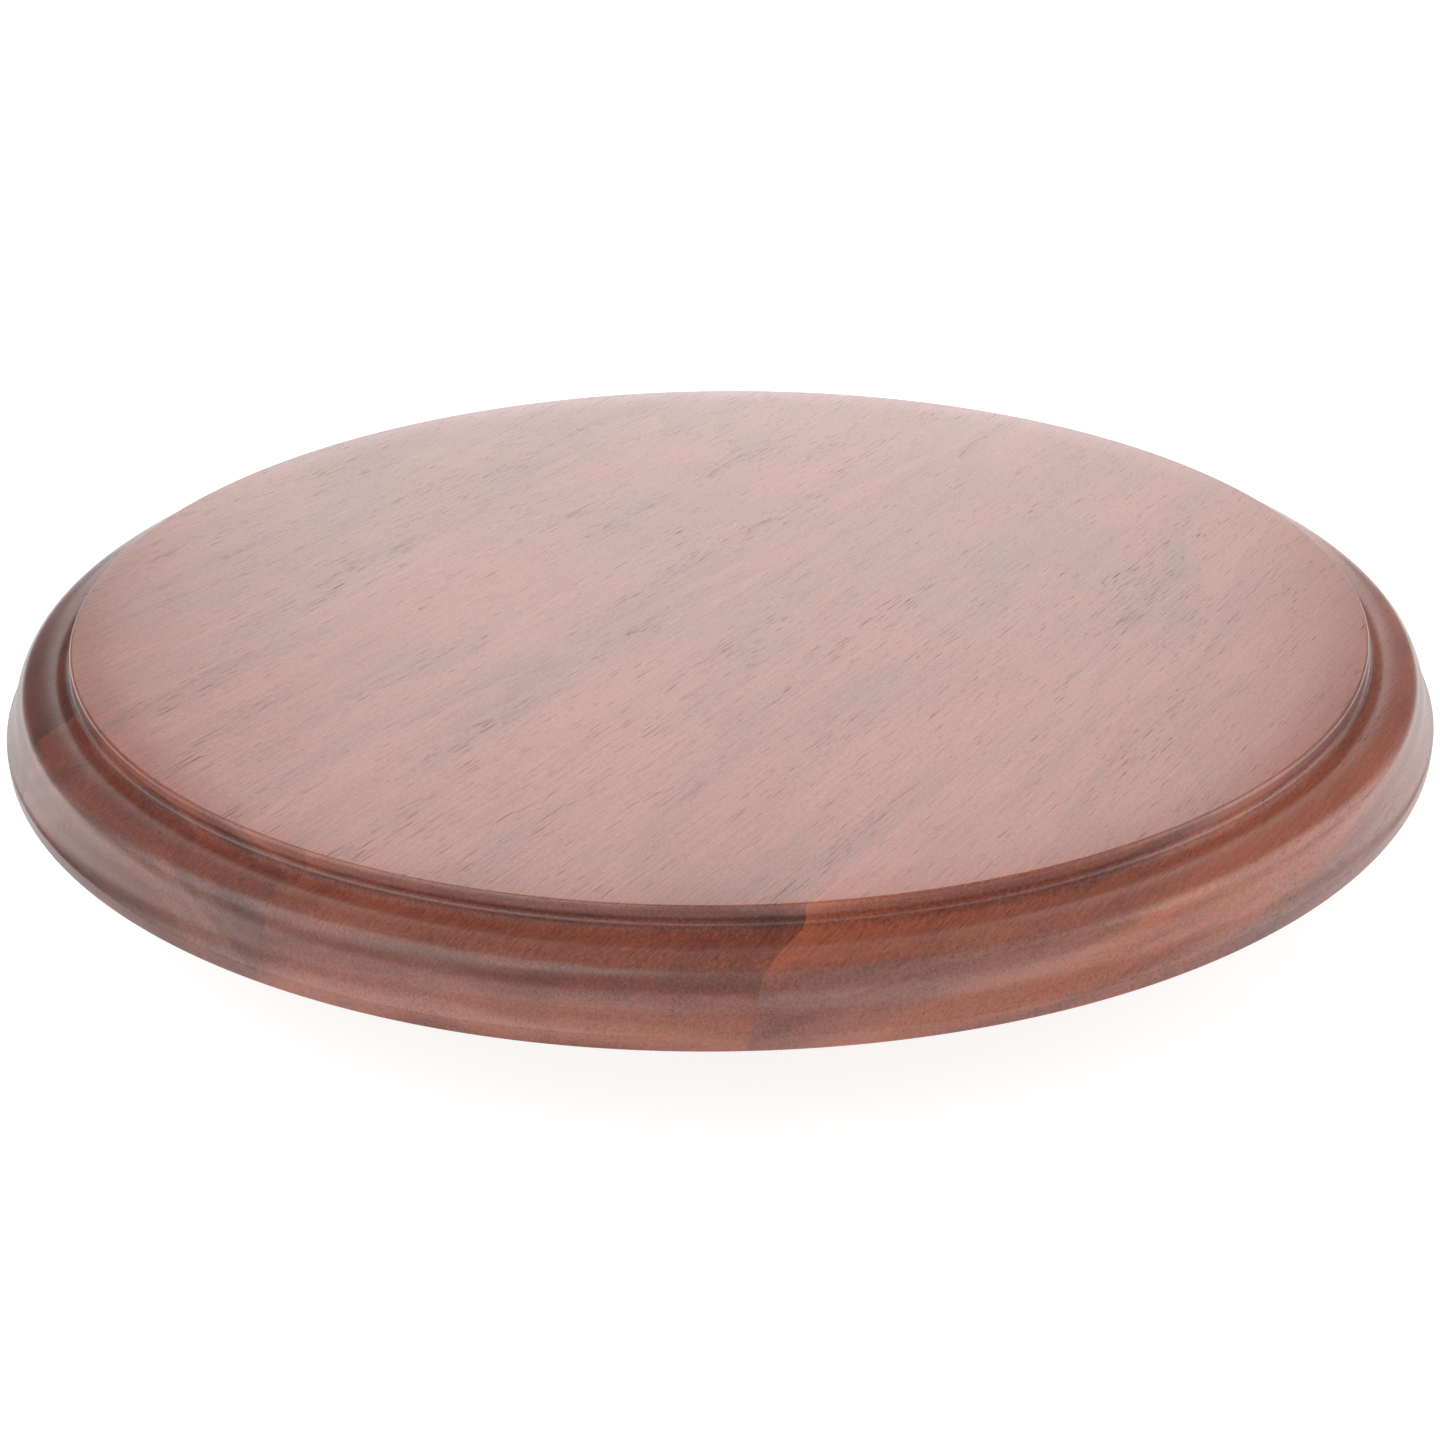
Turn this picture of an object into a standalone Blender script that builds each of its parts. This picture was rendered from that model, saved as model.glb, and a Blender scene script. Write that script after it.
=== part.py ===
"""Turntable display stand: a moulded walnut board that turns on a ball-bearing swivel over a base board.

Metres, +Z up. The origin is on the surface that the feet stand on, on the axis that the board turns about.
Touching pieces keep GAP between their meshes. Rest pose: the two swivel plates lie square to each other.
"""

import math

import bmesh
import bpy
from mathutils import Matrix

MM = 0.001
GAP = 0.3 * MM
MERGE_DISTANCE = 0.001 * MM

# Top board: the outside of its moulded edge, and its thickness.
BOARD_RADIUS = 150 * MM
BOARD_THICKNESS = 18.5 * MM
BOARD_SEGMENTS = 72

# Moulded edge, from the top down: rim wall, arris, cove, crown, shoulder, belly, waist, flare, foot.
# Each angle is the slope of the outward side where two curves meet.
RIM_RADIUS = 135.7 * MM
RIM_EASE = 0.6 * MM
RIM_WALL = 3.1 * MM
ARRIS_RADIUS = 136.15 * MM
COVE_WIDTH = 3.05 * MM
COVE_DEPTH = 1.6 * MM
CROWN_CURVE = 15 * MM
CROWN_ANGLE = math.radians(21)
SHOULDER_CURVE = 3.4 * MM
SHOULDER_ANGLE = math.radians(30)
BELLY_CURVE = 11 * MM
WAIST_ANGLE = math.radians(10.5)
FLARE_ANGLE = math.radians(36)
FOOT_BAND = 3.1 * MM
BOTTOM_EASE = 0.5 * MM

# Base board: a plain disc with rounded edges.
BASE_RADIUS = 110 * MM
BASE_THICKNESS = 12 * MM
BASE_EDGE_ROUND = 3 * MM
BASE_SEGMENTS = 60

# Rubber feet and their screws.
FOOT_COUNT = 4
FOOT_CIRCLE_RADIUS = 97 * MM
FOOT_FIRST_ANGLE = math.radians(45)
FOOT_HEIGHT = 4 * MM
FOOT_EASE = 0.6 * MM
FOOT_TOP_RADIUS = 9 * MM
FOOT_BOTTOM_RADIUS = 8 * MM
FOOT_RECESS_RADIUS = 4.2 * MM
FOOT_RECESS_DEPTH = 2.6 * MM
FOOT_SEGMENTS = 20

# Swivel: two pressed square plates with a ball race between them.
SWIVEL_HEIGHT = 8 * MM
SHEET = 1 * MM
PLATE_HALF_SIDE = 76.2 * MM
PLATE_CORNER_RADIUS = 8 * MM
PLATE_CORNER_STEPS = 5
PLATE_SEGMENTS = 48
RACE_RADIUS = 57 * MM
RACE_SHOULDER = 1.4 * MM
RACE_TROUGH = 0.4 * MM
# Half of the pressed race from its edge to its middle: distance from the middle, and rise above the sheet.
RACE_STEPS = (
    (3.8 * MM, 0),
    (3.0 * MM, RACE_SHOULDER),
    (2.1 * MM, RACE_SHOULDER),
    (1.0 * MM, RACE_TROUGH),
)
RACE_BACK_SHIFT = 0.4 * MM
COLLAR_RADIUS = 46 * MM
HEM_RADIUS = 51.5 * MM
HEM_THICKNESS = 0.8 * MM
LIP_RADIUS = 47.6 * MM
PLATE_HOLE_OFFSET = 62.7 * MM

# Balls and the ring that spaces them.
BALL_COUNT = 24
BALL_RADIUS = 2.4 * MM
CAGE_HALF_WIDTH = 3.9 * MM
CAGE_THICKNESS = 1.6 * MM
POCKET_CLEARANCE = 0.25 * MM
POCKET_SEGMENTS = 10

# Pan-head wood screws: the head's outline as (radius, height), the shank, and each length under the head.
SCREW_HEAD_HEIGHT = 2.2 * MM
SCREW_HEAD_OUTLINE = (
    (0, SCREW_HEAD_HEIGHT),
    (2.3 * MM, 2.05 * MM),
    (3.5 * MM, 1.4 * MM),
    (3.8 * MM, 1.0 * MM),
    (3.8 * MM, 0),
)
SCREW_SHANK_RADIUS = 1.7 * MM
SCREW_TIP = 2.5 * MM
SCREW_SEGMENTS = 10
PLATE_TO_TOP_SCREW = 14 * MM
PLATE_TO_BASE_SCREW = 10 * MM
FOOT_SCREW = 11 * MM
RECESS_ARM = 2.0 * MM
RECESS_WIDTH = 0.7 * MM
RECESS_DEPTH = 1.2 * MM

# Hole in the base board that a screwdriver reaches the upper plate's screws through.
ACCESS_RADIUS = 9.5 * MM
ACCESS_SEGMENTS = 24

# Heights of the stack.
BASE_BOTTOM = FOOT_HEIGHT + GAP
BASE_TOP = BASE_BOTTOM + BASE_THICKNESS
SWIVEL_BOTTOM = BASE_TOP + GAP
SWIVEL_TOP = SWIVEL_BOTTOM + SWIVEL_HEIGHT
BALL_HEIGHT = SWIVEL_BOTTOM + SWIVEL_HEIGHT / 2
BOARD_BOTTOM = SWIVEL_TOP + GAP
BOARD_TOP = BOARD_BOTTOM + BOARD_THICKNESS

# Colours are linear RGB.
FINISHES = {
    "walnut": ((0.26, 0.10, 0.062), 0.35, 0.0),
    "zinc_steel": ((0.62, 0.63, 0.65), 0.32, 1.0),
    "ball_steel": ((0.75, 0.75, 0.76), 0.1, 1.0),
    "nylon": ((0.72, 0.70, 0.64), 0.5, 0.0),
    "rubber": ((0.02, 0.02, 0.021), 0.8, 0.0),
}


def clear_scene():
    for obj in list(bpy.data.objects):
        bpy.data.objects.remove(obj)


def material(name):
    found = bpy.data.materials.get(name)
    if found:
        return found
    colour, roughness, metallic = FINISHES[name]
    made = bpy.data.materials.new(name)
    made.use_nodes = True
    shader = made.node_tree.nodes["Principled BSDF"]
    shader.inputs["Base Color"].default_value = (*colour, 1)
    shader.inputs["Roughness"].default_value = roughness
    shader.inputs["Metallic"].default_value = metallic
    return made


def add_object(name, mesh, finish=None, location=(0, 0, 0), parent=None):
    obj = bpy.data.objects.new(name, mesh)
    obj.location = location
    obj.parent = parent
    if finish and not mesh.materials:
        mesh.materials.append(material(finish))
    bpy.context.scene.collection.objects.link(obj)
    return obj


def mesh_from(bm, name, smooth_angle=math.radians(35)):
    bmesh.ops.remove_doubles(bm, verts=bm.verts, dist=MERGE_DISTANCE)
    bmesh.ops.recalc_face_normals(bm, faces=bm.faces)
    mesh = bpy.data.meshes.new(name)
    bm.to_mesh(mesh)
    bm.free()
    mesh.shade_smooth()
    mesh.set_sharp_from_angle(angle=smooth_angle)
    return mesh


def turned(name, outline, segments, closed=False):
    """A mesh spun about Z from an outline of (radius, height) points; a closed outline makes a ring."""
    bm = bmesh.new()
    verts = [bm.verts.new((radius, 0, height)) for radius, height in outline]
    pairs = list(zip(verts, verts[1:]))
    if closed:
        pairs.append((verts[-1], verts[0]))
    edges = [bm.edges.new(pair) for pair in pairs]
    bmesh.ops.spin(
        bm, geom=verts + edges, cent=(0, 0, 0), axis=(0, 0, 1), angle=math.tau, steps=segments,
        use_merge=True,
    )
    return mesh_from(bm, name)


def arc(centre, radii, start, end, steps):
    """Points on an ellipse from one angle to the other, both ends included."""
    angles = [start + (end - start) * i / steps for i in range(steps + 1)]
    return [(centre[0] + radii[0] * math.cos(a), centre[1] + radii[1] * math.sin(a)) for a in angles]


def hide_as_cutter(obj):
    obj.hide_render = True
    obj.display_type = "WIRE"


def boolean(obj, cutter, operation="DIFFERENCE"):
    modifier = obj.modifiers.new(cutter.name, "BOOLEAN")
    modifier.object = cutter
    modifier.operation = operation
    modifier.solver = "EXACT"
    hide_as_cutter(cutter)


def cylinders(name, places, radius, bottom, top, segments):
    """One cutter made of upright cylinders that stand at the given (x, y) places."""
    bm = bmesh.new()
    for x, y in places:
        centre = Matrix.Translation((x, y, (bottom + top) / 2))
        bmesh.ops.create_cone(
            bm, cap_ends=True, segments=segments, radius1=radius, radius2=radius,
            depth=top - bottom, matrix=centre,
        )
    return add_object(name, mesh_from(bm, name))


def frozen(obj):
    """The object's mesh with its modifiers applied, for copies to share."""
    graph = bpy.context.evaluated_depsgraph_get()
    return bpy.data.meshes.new_from_object(obj.evaluated_get(graph))


def on_circle(radius, count, first=0.0):
    angles = [first + math.tau * i / count for i in range(count)]
    return [(radius * math.cos(a), radius * math.sin(a)) for a in angles]


def plate_hole_places():
    offset = PLATE_HOLE_OFFSET
    return [(offset, offset), (-offset, offset), (-offset, -offset), (offset, -offset)]


def follow(outline, radius, start, end, steps, hollow=False):
    """The outline carried on round an arc, from one slope of its outward side to another."""
    last = outline[-1]
    reach = -radius if hollow else radius
    turn = math.pi if hollow else 0
    centre = (last[0] - reach * math.cos(start), last[1] - reach * math.sin(start))
    return outline + arc(centre, (radius, radius), start + turn, end + turn, steps)[1:]


def moulded_edge(bottom, top):
    """The board's outer outline from the top rim down to the underside."""
    arris = top - RIM_WALL
    rim_foot = (RIM_RADIUS, arris + ARRIS_RADIUS - RIM_RADIUS)
    ease = arc((RIM_RADIUS - RIM_EASE, top - RIM_EASE), (RIM_EASE, RIM_EASE), math.pi / 2, 0, 1)
    cove_centre = (ARRIS_RADIUS + COVE_WIDTH, arris)
    cove = arc(cove_centre, (COVE_WIDTH, COVE_DEPTH), math.pi, 1.5 * math.pi, 3)
    crown_end = math.pi / 2 - CROWN_ANGLE
    edge = follow(cove, CROWN_CURVE, math.pi / 2, crown_end, 2)
    edge = follow(edge, SHOULDER_CURVE, crown_end, SHOULDER_ANGLE, 2)
    edge = follow(edge, BELLY_CURVE, SHOULDER_ANGLE, WAIST_ANGLE, 1)
    band_top = bottom + FOOT_BAND
    flare_curve = (edge[-1][1] - band_top) / (math.sin(FLARE_ANGLE) - math.sin(WAIST_ANGLE))
    edge = follow(edge, flare_curve, WAIST_ANGLE, FLARE_ANGLE, 2, hollow=True)
    foot = [
        (BOARD_RADIUS, band_top - (BOARD_RADIUS - edge[-1][0])),
        (BOARD_RADIUS, bottom + BOTTOM_EASE),
        (BOARD_RADIUS - BOTTOM_EASE, bottom),
    ]
    return ease + [rim_foot] + edge + foot


def make_top_board(parent):
    outline = [(0, BOARD_TOP), *moulded_edge(BOARD_BOTTOM, BOARD_TOP), (0, BOARD_BOTTOM)]
    board = add_object(
        "top_board", turned("top_board", outline, BOARD_SEGMENTS), "walnut", parent=parent
    )
    tip = SWIVEL_TOP - SHEET + PLATE_TO_TOP_SCREW + GAP
    holes = cylinders(
        "top_board_pilot_holes", plate_hole_places(), SCREW_SHANK_RADIUS + GAP,
        BOARD_BOTTOM - 1 * MM, tip, SCREW_SEGMENTS,
    )
    boolean(board, holes)


def make_base_board(parent):
    rounding = BASE_EDGE_ROUND
    upper = arc((BASE_RADIUS - rounding, BASE_TOP - rounding), (rounding, rounding), math.pi / 2, 0, 3)
    lower_centre = (BASE_RADIUS - rounding, BASE_BOTTOM + rounding)
    lower = arc(lower_centre, (rounding, rounding), 0, -math.pi / 2, 3)
    outline = [(0, BASE_TOP), *upper, *lower, (0, BASE_BOTTOM)]
    board = add_object(
        "base_board", turned("base_board", outline, BASE_SEGMENTS), "walnut", parent=parent
    )
    plate_tip = SWIVEL_BOTTOM + SHEET - PLATE_TO_BASE_SCREW - GAP
    boolean(board, cylinders(
        "base_board_plate_pilot_holes", plate_hole_places(), SCREW_SHANK_RADIUS + GAP,
        plate_tip, BASE_TOP + 1 * MM, SCREW_SEGMENTS,
    ))
    foot_places = on_circle(FOOT_CIRCLE_RADIUS, FOOT_COUNT, FOOT_FIRST_ANGLE)
    foot_tip = FOOT_RECESS_DEPTH + FOOT_SCREW + GAP
    boolean(board, cylinders(
        "base_board_foot_pilot_holes", foot_places, SCREW_SHANK_RADIUS + GAP,
        BASE_BOTTOM - 1 * MM, foot_tip, SCREW_SEGMENTS,
    ))
    access = [(math.hypot(PLATE_HOLE_OFFSET, PLATE_HOLE_OFFSET), 0)]
    boolean(board, cylinders(
        "base_board_access_hole", access, ACCESS_RADIUS,
        BASE_BOTTOM - 1 * MM, BASE_TOP + 1 * MM, ACCESS_SEGMENTS,
    ))


def race_outline(shift, base):
    """One side of the pressed ball race, outwards, as (radius, height): shoulder, trough, shoulder."""
    inner = [(-reach - shift, rise) for reach, rise in RACE_STEPS]
    outer = [(reach + shift, rise) for reach, rise in reversed(RACE_STEPS)]
    return [(RACE_RADIUS + out, base + rise) for out, rise in inner + outer]


def square_blank(name):
    """An upright square prism with round corners, taller than the swivel."""
    bm = bmesh.new()
    side = 2 * PLATE_HALF_SIDE
    size = Matrix.Diagonal((side, side, 3 * SWIVEL_HEIGHT, 1))
    bmesh.ops.create_cube(bm, size=1, matrix=Matrix.Translation((0, 0, BALL_HEIGHT)) @ size)
    upright = [e for e in bm.edges if abs((e.verts[0].co - e.verts[1].co).z) > SWIVEL_HEIGHT]
    bmesh.ops.bevel(
        bm, geom=upright, offset=PLATE_CORNER_RADIUS, offset_type="OFFSET", segments=PLATE_CORNER_STEPS,
        profile=0.5, affect="EDGES",
    )
    return add_object(name, mesh_from(bm, name))


def finish_plate(name, outline, parent):
    """Trims a turned plate square and drills its four corner holes."""
    plate = add_object(name, turned(name, outline, PLATE_SEGMENTS, closed=True), "zinc_steel", parent=parent)
    boolean(plate, square_blank(name + "_square"), "INTERSECT")
    holes = cylinders(
        name + "_holes", plate_hole_places(), SCREW_SHANK_RADIUS + GAP,
        SWIVEL_BOTTOM - 1 * MM, SWIVEL_TOP + 1 * MM, SCREW_SEGMENTS,
    )
    boolean(plate, holes)


def make_lower_plate(parent):
    """Its inner edge stands up as a collar, whose hem turns out over the upper plate's lip."""
    ball_side = race_outline(0, SHEET)
    back = race_outline(RACE_BACK_SHIFT, 0)
    blank_radius = 2 * PLATE_HALF_SIDE
    hem_top = SWIVEL_HEIGHT - GAP
    collar = [
        (COLLAR_RADIUS, 0),
        (COLLAR_RADIUS, hem_top),
        (HEM_RADIUS, hem_top),
        (HEM_RADIUS, hem_top - HEM_THICKNESS),
        (COLLAR_RADIUS + SHEET, hem_top - HEM_THICKNESS),
        (COLLAR_RADIUS + SHEET, SHEET),
    ]
    outline = collar + ball_side + [(blank_radius, SHEET), (blank_radius, 0)] + back[::-1]
    outline = [(radius, SWIVEL_BOTTOM + height) for radius, height in outline]
    finish_plate("lower_plate", outline, parent)


def make_upper_plate(parent):
    """The lower plate's race upside down, with a flat lip running in under the hem."""
    ball_side = race_outline(0, SHEET)
    back = race_outline(RACE_BACK_SHIFT, 0)
    blank_radius = 2 * PLATE_HALF_SIDE
    lip = [(LIP_RADIUS, RACE_SHOULDER), (LIP_RADIUS, SHEET + RACE_SHOULDER)]
    outline = lip + ball_side[2:] + [(blank_radius, SHEET), (blank_radius, 0)] + back[:1:-1]
    outline = [(radius, SWIVEL_TOP - height) for radius, height in outline]
    finish_plate("upper_plate", outline, parent)


def make_cage(parent):
    half = CAGE_THICKNESS / 2
    inner, outer = RACE_RADIUS - CAGE_HALF_WIDTH, RACE_RADIUS + CAGE_HALF_WIDTH
    outline = [
        (inner, BALL_HEIGHT - half), (outer, BALL_HEIGHT - half),
        (outer, BALL_HEIGHT + half), (inner, BALL_HEIGHT + half),
    ]
    cage = add_object(
        "ball_cage", turned("ball_cage", outline, PLATE_SEGMENTS, closed=True), "nylon", parent=parent
    )
    boolean(cage, cylinders(
        "ball_cage_pockets", on_circle(RACE_RADIUS, BALL_COUNT), BALL_RADIUS + POCKET_CLEARANCE,
        BALL_HEIGHT - CAGE_THICKNESS, BALL_HEIGHT + CAGE_THICKNESS, POCKET_SEGMENTS,
    ))


def make_balls(parent):
    bm = bmesh.new()
    bmesh.ops.create_icosphere(bm, subdivisions=2, radius=BALL_RADIUS)
    mesh = mesh_from(bm, "ball", smooth_angle=math.pi)
    for number, (x, y) in enumerate(on_circle(RACE_RADIUS, BALL_COUNT), start=1):
        add_object(f"ball_{number:02d}", mesh, "ball_steel", (x, y, BALL_HEIGHT), parent)


def screw_mesh(name, length):
    """A pan-head wood screw pointing down, its head resting on z = 0, with a cross recess."""
    outline = [
        *SCREW_HEAD_OUTLINE,
        (SCREW_SHANK_RADIUS, 0),
        (SCREW_SHANK_RADIUS, SCREW_TIP - length),
        (0, -length),
    ]
    blank = add_object(name + "_blank", turned(name + "_blank", outline, SCREW_SEGMENTS))
    for turn in (0, math.pi / 2):
        bm = bmesh.new()
        slot = Matrix.Diagonal((2 * RECESS_ARM, RECESS_WIDTH, 2 * RECESS_DEPTH, 1))
        place = Matrix.Translation((0, 0, SCREW_HEAD_HEIGHT)) @ Matrix.Rotation(turn, 4, "Z")
        bmesh.ops.create_cube(bm, size=1, matrix=place @ slot)
        boolean(blank, add_object(f"{name}_slot_{turn:.0f}", mesh_from(bm, name + "_slot")))
    mesh = frozen(blank)
    mesh.name = name
    hide_as_cutter(blank)
    return mesh


def add_screws(label, mesh, places, height, pointing_up, parent):
    for number, (x, y) in enumerate(places, start=1):
        screw = add_object(f"{label}_{number}", mesh, "zinc_steel", (x, y, height), parent)
        screw.rotation_euler.x = math.pi if pointing_up else 0


def make_plate_screws(base, top):
    lower_seat = SWIVEL_BOTTOM + SHEET + GAP
    lower = screw_mesh("lower_plate_screw", PLATE_TO_BASE_SCREW)
    add_screws("lower_plate_screw", lower, plate_hole_places(), lower_seat, False, base)
    upper_seat = SWIVEL_TOP - SHEET - GAP
    upper = screw_mesh("upper_plate_screw", PLATE_TO_TOP_SCREW)
    add_screws("upper_plate_screw", upper, plate_hole_places(), upper_seat, True, top)


def make_feet(parent):
    outline = [
        (FOOT_RECESS_RADIUS, 0),
        (FOOT_BOTTOM_RADIUS - FOOT_EASE, 0),
        (FOOT_BOTTOM_RADIUS, FOOT_EASE),
        (FOOT_TOP_RADIUS, FOOT_HEIGHT),
        (SCREW_SHANK_RADIUS + GAP, FOOT_HEIGHT),
        (SCREW_SHANK_RADIUS + GAP, FOOT_RECESS_DEPTH),
        (FOOT_RECESS_RADIUS, FOOT_RECESS_DEPTH),
    ]
    mesh = turned("rubber_foot", outline, FOOT_SEGMENTS, closed=True)
    places = on_circle(FOOT_CIRCLE_RADIUS, FOOT_COUNT, FOOT_FIRST_ANGLE)
    for number, (x, y) in enumerate(places, start=1):
        add_object(f"foot_{number}", mesh, "rubber", (x, y, 0), parent)
    screw = screw_mesh("foot_screw", FOOT_SCREW)
    add_screws("foot_screw", screw, places, FOOT_RECESS_DEPTH - GAP, True, parent)


def add_pivot(name):
    pivot = bpy.data.objects.new(name, None)
    bpy.context.scene.collection.objects.link(pivot)
    return pivot


def main():
    clear_scene()
    base = add_pivot("base_pivot")
    cage = add_pivot("cage_pivot")
    top = add_pivot("top_pivot")
    make_top_board(top)
    make_upper_plate(top)
    make_cage(cage)
    make_balls(cage)
    make_lower_plate(base)
    make_base_board(base)
    make_plate_screws(base, top)
    make_feet(base)


main()
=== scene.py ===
"""The looks of the turntable display stand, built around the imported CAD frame.

Metres, +Z up, in the frame's own coordinates. Fine pieces replace the faceted CAD nodes, and every
surface has a procedural material. Materials work in millimetres, from object coordinates.
"""

import math

import bmesh
import bpy
from mathutils import Matrix, Vector

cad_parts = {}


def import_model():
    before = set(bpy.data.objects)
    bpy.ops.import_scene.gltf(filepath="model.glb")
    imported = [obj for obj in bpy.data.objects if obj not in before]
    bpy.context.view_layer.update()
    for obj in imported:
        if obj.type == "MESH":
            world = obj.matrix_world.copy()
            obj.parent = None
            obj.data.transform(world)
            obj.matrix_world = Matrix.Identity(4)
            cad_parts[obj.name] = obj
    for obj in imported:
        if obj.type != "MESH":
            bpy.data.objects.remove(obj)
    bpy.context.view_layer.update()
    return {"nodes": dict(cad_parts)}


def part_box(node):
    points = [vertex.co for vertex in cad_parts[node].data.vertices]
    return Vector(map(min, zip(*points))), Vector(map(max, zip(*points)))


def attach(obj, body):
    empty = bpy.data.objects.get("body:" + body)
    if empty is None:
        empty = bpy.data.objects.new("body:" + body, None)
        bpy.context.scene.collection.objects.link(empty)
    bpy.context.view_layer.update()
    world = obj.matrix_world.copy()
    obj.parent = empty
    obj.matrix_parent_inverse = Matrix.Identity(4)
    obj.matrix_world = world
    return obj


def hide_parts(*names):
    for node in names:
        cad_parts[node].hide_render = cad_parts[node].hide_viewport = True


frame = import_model()

MM = 0.001
SMOOTH_ANGLE = math.radians(40)
WELD = 0.0005 * MM
HOLE_SEGMENTS = 32
# An outline's turn smaller than this many radians isn't rounded, and no rounding uses up more than this share
# of the line beside it.
STRAIGHT = 0.02
ROUNDING_SHARE = 0.45


# ---------------------------------------------------------------- geometry helpers


def arc(centre, radius, start, end, steps):
    """Points on an arc from one angle to the other, both ends included; radius may be an (x, y) pair."""
    across, up = radius if isinstance(radius, tuple) else (radius, radius)
    angles = [start + (end - start) * i / steps for i in range(steps + 1)]
    return [(centre[0] + across * math.cos(a), centre[1] + up * math.sin(a)) for a in angles]


def spread(start, end, steps):
    """Points evenly along a straight line, both ends included."""
    return [
        tuple(s + (e - s) * i / steps for s, e in zip(start, end)) for i in range(steps + 1)
    ]


def rounded(points, radius, steps=3, closed=False):
    """The outline with each of its corners softened to a small curve."""
    count = len(points)
    made = []
    for i, corner in enumerate(points):
        if not closed and i in (0, count - 1):
            made.append(corner)
            continue
        here = Vector(corner)
        before = Vector(points[i - 1]) - here
        after = Vector(points[(i + 1) % count]) - here
        turn = math.pi - before.angle(after)
        if turn < STRAIGHT:
            made.append(corner)
            continue
        room = ROUNDING_SHARE * min(before.length, after.length)
        reach = min(radius * math.tan(turn / 2), room)
        first = here + before.normalized() * reach
        last = here + after.normalized() * reach
        for k in range(steps + 1):
            t = k / steps
            point = first * (1 - t) ** 2 + here * 2 * t * (1 - t) + last * t * t
            made.append(tuple(point))
    return made


def finish_mesh(bm, name, smooth=SMOOTH_ANGLE):
    """The welded mesh, with its normals outward and its edges past the smooth angle kept sharp."""
    bmesh.ops.remove_doubles(bm, verts=bm.verts, dist=WELD)
    bmesh.ops.recalc_face_normals(bm, faces=bm.faces)
    mesh = bpy.data.meshes.new(name)
    bm.to_mesh(mesh)
    bm.free()
    mesh.shade_smooth()
    mesh.set_sharp_from_angle(angle=smooth)
    return mesh


def turned(name, outline, segments, closed=False):
    """A mesh spun about Z from (radius, height) points."""
    bm = bmesh.new()
    verts = [bm.verts.new((radius, 0, height)) for radius, height in outline]
    pairs = list(zip(verts, verts[1:])) + ([(verts[-1], verts[0])] if closed else [])
    edges = [bm.edges.new(pair) for pair in pairs]
    bmesh.ops.spin(
        bm, geom=verts + edges, cent=(0, 0, 0), axis=(0, 0, 1), angle=math.tau,
        steps=segments, use_merge=True,
    )
    return finish_mesh(bm, name)


def add_object(name, mesh, location=(0, 0, 0)):
    obj = bpy.data.objects.new(name, mesh)
    obj.location = location
    bpy.context.scene.collection.objects.link(obj)
    return obj


def cut(obj, cutter, operation="DIFFERENCE"):
    """Applies a boolean and removes the cutter."""
    modifier = obj.modifiers.new("cut", "BOOLEAN")
    modifier.object = cutter
    modifier.operation = operation
    modifier.solver = "EXACT"
    graph = bpy.context.evaluated_depsgraph_get()
    mesh = bpy.data.meshes.new_from_object(obj.evaluated_get(graph))
    obj.modifiers.clear()
    obj.data = mesh
    bpy.data.objects.remove(cutter)
    mesh.shade_smooth()
    mesh.set_sharp_from_angle(angle=SMOOTH_ANGLE)


def cylinders(places, radius, bottom, top):
    """One cutter that drills the same hole at each (x, y) place."""
    bm = bmesh.new()
    for x, y in places:
        bmesh.ops.create_cone(
            bm, cap_ends=True, segments=HOLE_SEGMENTS, radius1=radius, radius2=radius,
            depth=top - bottom, matrix=Matrix.Translation((x, y, (bottom + top) / 2)),
        )
    return add_object("cutter", finish_mesh(bm, "cutter"))


def centre_of(node):
    low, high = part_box(node)
    return (low + high) / 2


def show(piece, nodes, body, material):
    """Puts a finished piece on its body, in place of its CAD nodes."""
    piece.data.materials.clear()
    piece.data.materials.append(material)
    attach(piece, body)
    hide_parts(*nodes)


# ---------------------------------------------------------------- places read from the frame

BALLS = sorted(n for n in frame["nodes"] if n.startswith("ball_") and n != "ball_cage")
FEET = sorted(n for n in frame["nodes"] if n.startswith("foot_") and "screw" not in n)
FOOT_SCREWS = sorted(n for n in frame["nodes"] if n.startswith("foot_screw_"))
LOWER_SCREWS = sorted(n for n in frame["nodes"] if n.startswith("lower_plate_screw_"))
UPPER_SCREWS = sorted(n for n in frame["nodes"] if n.startswith("upper_plate_screw_"))

BOARD_LOW, BOARD_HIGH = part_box("top_board")
BASE_LOW, BASE_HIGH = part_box("base_board")
LOWER_LOW, LOWER_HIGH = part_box("lower_plate")
UPPER_LOW, UPPER_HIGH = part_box("upper_plate")
CAGE_LOW, CAGE_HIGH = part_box("ball_cage")
BALL_CENTRE = centre_of("ball_01")
RACE_RADIUS = BALL_CENTRE.xy.length
BALL_RADIUS = (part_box("ball_01")[1].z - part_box("ball_01")[0].z) / 2
PLATE_HOLES = [tuple(centre_of(n).xy) for n in LOWER_SCREWS]
FOOT_PLACES = [tuple(centre_of(n).xy) for n in FEET]
PILOT_RADIUS = 2.0 * MM
TIP_ROOM = 0.3 * MM


# ---------------------------------------------------------------- material helpers


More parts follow.
